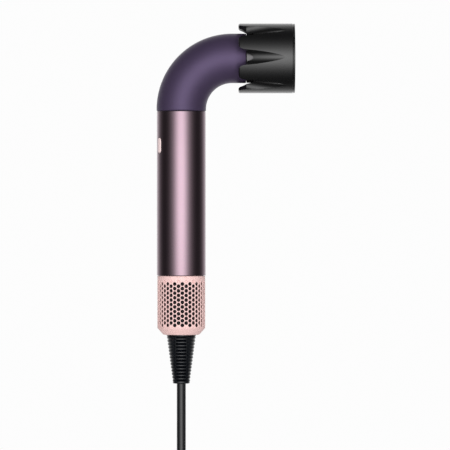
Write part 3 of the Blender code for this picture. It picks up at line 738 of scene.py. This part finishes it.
def groove_stations(rear):
    """(x, half width, depth) of a groove, from behind the petals' round tips to just past its
    apex. It dives along a shallow curve."""
    def depth(x):
        run = GROOVE_APEX - x
        return 0.08 * run + 3.5 * run * abs(run) + 1.4 * max(0, MOUTH_X - x)

    stations = [(rear - 0.0060, GROOVE_R + MOUTH_FLARE, depth(rear))]
    for step in range(12, -1, -1):
        angle = math.pi / 2 * step / 12
        x = MOUTH_X - (MOUTH_X - rear) * math.sin(angle)
        stations.append((x, GROOVE_R + MOUTH_FLARE * (1 - math.cos(angle)), depth(x)))
    for step in range(1, 25):
        x = MOUTH_X + (GROOVE_APEX + 0.0020 - MOUTH_X) * step / 24
        stations.append((x, GROOVE_R, depth(x)))
    return stations


def groove(name, turn, rear):
    """The cutter of one groove, round at the bottom and with upright sides above that."""
    angle = math.radians(turn - 90)
    across = 40
    above = DIFFUSER_R + GROOVE_R + 0.0010
    bm = bmesh.new()
    loops = []
    for x, half, depth in groove_stations(rear):
        loop = []
        for step in range(across + 1):
            swing = math.pi * (step / across - 0.5)
            loop.append((half * math.sin(swing),
                         DIFFUSER_R - depth + GROOVE_R * (1 - math.cos(swing))))
        loop += [(half, above), (-half, above)]
        loops.append([
            bm.verts.new(along_head((
                out * math.cos(angle) - side * math.sin(angle),
                out * math.sin(angle) + side * math.cos(angle), x,
            )))
            for side, out in loop
        ])
    for near, far in zip(loops, loops[1:]):
        join_loops(bm, near, far)
    bm.faces.new(loops[0])
    bm.faces.new(loops[-1])
    return helper(name, bm)


def make_diffuser():
    """The petalled body: one turned moulding with tapered grooves cut between its petals."""
    rear, front = BODY_LOW[0], BODY_HIGH[0]
    profile = rounded([
        (DIFFUSER_R, front, 0.0005), (DIFFUSER_R, rear, 0.0017), (0.0240, rear, 0.0012),
        (PETAL_BORE, rear + 0.0046, 0.004), (PETAL_BORE, 0.0700, 0.0), (0.0166, 0.0700, 0.0),
        (0.0166, 0.0715, 0.0), (0.0246, 0.0790, 0.0005), (0.0252, front, 0.0003),
    ], 0.0003, 6)
    body = add_piece("petal_body", lathe(profile, 196, along_head), "black", "diffuser", "diffuser_body")
    cut(body, [groove(f"groove_{turn}", turn, rear) for turn in GROOVE_TURNS], 12)
    soften(body, 0.00015, angle=14)

    rim_low, rim_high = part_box("diffuser_rim")
    rim_r = (rim_high[1] - rim_low[1]) / 2
    rim = rounded([
        (rim_r, rim_high[0], 0.0006), (rim_r, rim_low[0], 0.0002), (0.0240, rim_low[0], 0.0002),
        (0.0240, rim_high[0], 0.0004),
    ], 0.0003)
    add_piece("front_rim", lathe(rim, 144, along_head), "black", "diffuser", "diffuser_rim")


def make_screen():
    """The plate behind the front rim, with five rings of slots."""
    low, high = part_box("diffuser_screen")
    profile = rounded([(0.0248, high[0]), (0.0248, low[0]), (0.0030, low[0]), (0.0030, high[0])], 0.0003)
    plate = add_piece("screen_plate", lathe(profile, 96, along_head), "black", "diffuser",
                      "diffuser_screen")
    bm = bmesh.new()
    for radius, count in ((0.0070, 10), (0.0112, 16), (0.0154, 22), (0.0196, 28), (0.0230, 34)):
        for index in range(count):
            turn = math.tau * (index + 0.5 * (count // 6 % 2)) / count

            def put(x, y, out, turn=turn, radius=radius):
                return along_head((
                    (radius + y) * math.cos(turn) - x * math.sin(turn),
                    (radius + y) * math.sin(turn) + x * math.cos(turn), out,
                ))
            raised(pill(0.0026, 0.0021, 6), put, low[0] - 0.002, high[0] + 0.002, bm)
    cut(plate, [helper("screen_slots", bm)])


# Cord, hank and plug

def smooth_path(knots, spacing):
    """Points at an even spacing along one smooth curve through the knots (Catmull-Rom)."""
    ends = [2 * knots[0] - knots[1], *knots, 2 * knots[-1] - knots[-2]]
    dense = []
    for before, first, second, after in zip(ends, ends[1:], ends[2:], ends[3:]):
        for step in range(16):
            t = step / 16
            dense.append(
                0.5 * (2 * first + (second - before) * t
                       + (2 * before - 5 * first + 4 * second - after) * t ** 2
                       + (3 * first - before - 3 * second + after) * t ** 3)
            )
    dense.append(knots[-1])
    points, travelled = [dense[0]], 0.0
    for start, end in zip(dense, dense[1:]):
        travelled += (end - start).length
        if travelled >= spacing:
            points.append(end)
            travelled = 0.0
    points.append(dense[-1])
    return points


def ease(value):
    """A smooth step from 0 to 1, level at both ends."""
    value = max(0.0, min(1.0, value))
    return value * value * (3 - 2 * value)


def cord_knots():
    """The drop, six turns of the hank in two columns and three layers, and the tail to the plug."""
    outer, inner = (HANK_LOOP, HANK_LOOP - CORD_PITCH)
    slots = [(outer, 0), (inner, 0), (inner, 1), (outer, 1), (outer, 2), (inner, 2), (inner, 3)]
    centre_x = HANK_LOOP
    bottom = HANK_TOP - HANK_RUN
    middle = (HANK_TOP + bottom) / 2
    layer_gap = GAP / 3

    def depth(layer):
        return layer * (CORD_PITCH + layer_gap) if layer == 3 else layer * CORD_PITCH

    def pinch(height):
        return HANK_WAIST * (1 + math.cos(math.tau * (height - middle) / HANK_RUN)) / 2

    knots = [Vector((0, 0, z)) for z in (RELIEF_LOW[2] + 0.006, -0.1700, -0.1950, HANK_TOP + 0.0200)]
    runs = 9
    for loop in range(6):
        width, layer = slots[loop]
        after_width, after_layer = slots[loop + 1]
        for step in range(runs):
            height = HANK_TOP - HANK_RUN * step / runs
            knots.append(Vector((centre_x - (width - pinch(height)), depth(layer), height)))
        for step in range(6):
            angle = math.pi + math.pi * step / 6
            knots.append(Vector((
                centre_x + width * math.cos(angle), depth(layer), bottom + width * math.sin(angle)
            )))
        change = middle + (2.5 - loop) * 0.013
        for step in range(runs):
            height = bottom + HANK_RUN * step / runs
            share = ease((height - change) / 0.030 + 0.5)
            now_width = width + (after_width - width) * share
            now_depth = depth(layer) + (depth(after_layer) - depth(layer)) * share
            knots.append(Vector((centre_x + now_width - pinch(height), now_depth, height)))
        for step in range(6):
            angle = math.pi * step / 6
            knots.append(Vector((
                centre_x + after_width * math.cos(angle), depth(after_layer),
                HANK_TOP + after_width * math.sin(angle)
            )))
    plug_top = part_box("plug_body")[1][2]
    layer = depth(3)
    right = centre_x - inner
    knots += [
        Vector((right, layer + 0.0010, HANK_TOP)),
        Vector((right + 0.0060, layer + 0.0060, HANK_TOP - 0.0220)),
        Vector((centre_x - 0.0030, PLUG_Y - 0.0010, HANK_TOP - 0.0480)),
        Vector((centre_x, PLUG_Y, plug_top - 0.0010)),
    ]
    return knots


def make_cord():
    """The mains cord in one unbroken run, from inside the strain relief to the plug's neck."""
    points = smooth_path(cord_knots(), 0.0050)
    curve = bpy.data.curves.new("mains_cord", "CURVE")
    curve.dimensions = "3D"
    curve.bevel_depth = CORD_R
    curve.bevel_resolution = 6
    curve.use_fill_caps = True
    spline = curve.splines.new("POLY")
    spline.points.add(len(points) - 1)
    for entry, point in zip(spline.points, points):
        entry.co = (*point, 1.0)
    spline.use_smooth = True
    curve.materials.append(FINISH["cord"])
    obj = bpy.data.objects.new("mains_cord", curve)
    bpy.context.scene.collection.objects.link(obj)
    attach(obj, "handle")
    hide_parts("cord_lead", "cord_hank", "cord_tail")


def make_plug():
    """A moulded two-pin plug: a ribbed neck that flares into a waisted grip."""
    low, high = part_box("plug_body")
    centre = (low + high) / 2
    tall = high[2] - low[2]
    half_x, half_y = (high[0] - low[0]) / 2, (high[1] - low[1]) / 2
    neck, flare = 0.0140, 0.0085
    sections = []
    levels = 110
    for level in range(levels + 1):
        down = tall * level / levels
        swell = ease((down - neck) / flare)
        radius = 0.0052 + 0.0016 * min(1.0, down / neck)
        if 0.0015 < down < neck - 0.0010 and (down / 0.0026) % 1.0 < 0.4:
            radius -= 0.0007
        grip_share = (down - neck - flare) / (tall - neck - flare)
        waist = 0.0011 * math.sin(math.pi * min(1.0, max(0.0, grip_share)))
        ridge = 0.00025 * math.sin(grip_share * math.tau * 6) if 0.2 < grip_share < 0.7 else 0.0
        wide = radius + (half_x - radius - waist) * swell
        deep = radius + (half_y - radius - ridge) * swell
        left = tall - down
        edge = 0.0012 - math.sqrt(0.0012 ** 2 - (0.0012 - left) ** 2) if left < 0.0012 else 0.0
        outline = pill(2 * max(wide - edge, deep - edge + 0.00001), 2 * (deep - edge), 14)
        sections.append([Vector((centre[0] + y, centre[1] + x, high[2] - down)) for x, y in outline])
    add_piece("plug_grip", loft(sections), "rubber", "handle", "plug_body", smooth=50)
    for node in ("plug_pin_1", "plug_pin_2"):
        pin_low, pin_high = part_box(node)
        middle, radius = (pin_low + pin_high) / 2, (pin_high[0] - pin_low[0]) / 2

        def put(point, middle=middle):
            return Vector((middle[0] + point[0], middle[1] + point[1], point[2]))
        pin = rounded([
            (0.0, pin_high[2], 0.0), (radius, pin_high[2], 0.0), (radius, pin_low[2], 0.0018),
            (0.0, pin_low[2], 0.0),
        ], 0.0, 8)
        add_piece(node + "_bar", lathe(pin, 40, put), "steel", "handle", node)


def make_tie():
    """A hook-and-loop strap round the hank's waist, its rounded end lapped over itself."""
    low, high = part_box("cord_tie")
    centre, thick = (low + high) / 2, 0.0012
    half_x, half_y = (high[0] - low[0]) / 2, (high[1] - low[1]) / 2
    half_z, corner = (high[2] - low[2]) / 2, 0.0042

    def track(offset):
        """The strap's path seen from above, counter-clockwise from the middle of the back."""
        points = []
        for index, (x, y) in enumerate(((-1, 1), (-1, -1), (1, -1), (1, 1))):
            for step in range(9):
                angle = math.pi / 2 * (index + 1 + step / 8)
                points.append(Vector((
                    x * (half_x - corner) + (corner + offset) * math.cos(angle),
                    y * (half_y - corner) + (corner + offset) * math.sin(angle), 0,
                )))
        return points

    def strip(name, inner, outer, widths):
        bm = bmesh.new()
        rings = []
        for near, far, width in zip(inner, outer, widths):
            rings.append([
                bm.verts.new(centre + near - Vector((0, 0, width))),
                bm.verts.new(centre + far - Vector((0, 0, width))),
                bm.verts.new(centre + far + Vector((0, 0, width))),
                bm.verts.new(centre + near + Vector((0, 0, width))),
            ])
        for first, second in zip(rings, rings[1:]):
            join_loops(bm, first, second)
        if len(rings) == len(track(0)):
            join_loops(bm, rings[-1], rings[0])
        else:
            bm.faces.new(rings[0])
            bm.faces.new(rings[-1])
        add_piece(name, bm, "tie", "handle", "cord_tie", bevel=0.0004)

    inner, outer = track(-thick), track(0.0)
    strip("tie_strap", inner, outer, [half_z] * len(inner))
    start, end = track(0.00005)[:22], track(thick)[:22]
    dense_in, dense_out, widths = [], [], []
    for index in range(21):
        for step in range(6):
            dense_in.append(start[index].lerp(start[index + 1], step / 6))
            dense_out.append(end[index].lerp(end[index + 1], step / 6))
    run = [(point - dense_in[-1]).length for point in dense_in]
    for distance in run:
        share = min(1.0, distance / half_z)
        widths.append(max(0.0012, (half_z - 0.0004) * math.sqrt(1 - (1 - share) ** 2)))
    strip("tie_flap", dense_in, dense_out, widths)


make_camera()
make_world()
make_fill_lights()
make_floor()
paint_cad_nodes()
make_handle()
make_buttons()
make_elbow()
make_outlet()
make_cage()
make_inlet()
make_relief()
make_diffuser()
make_screen()
make_plug()
make_tie()
make_cord()
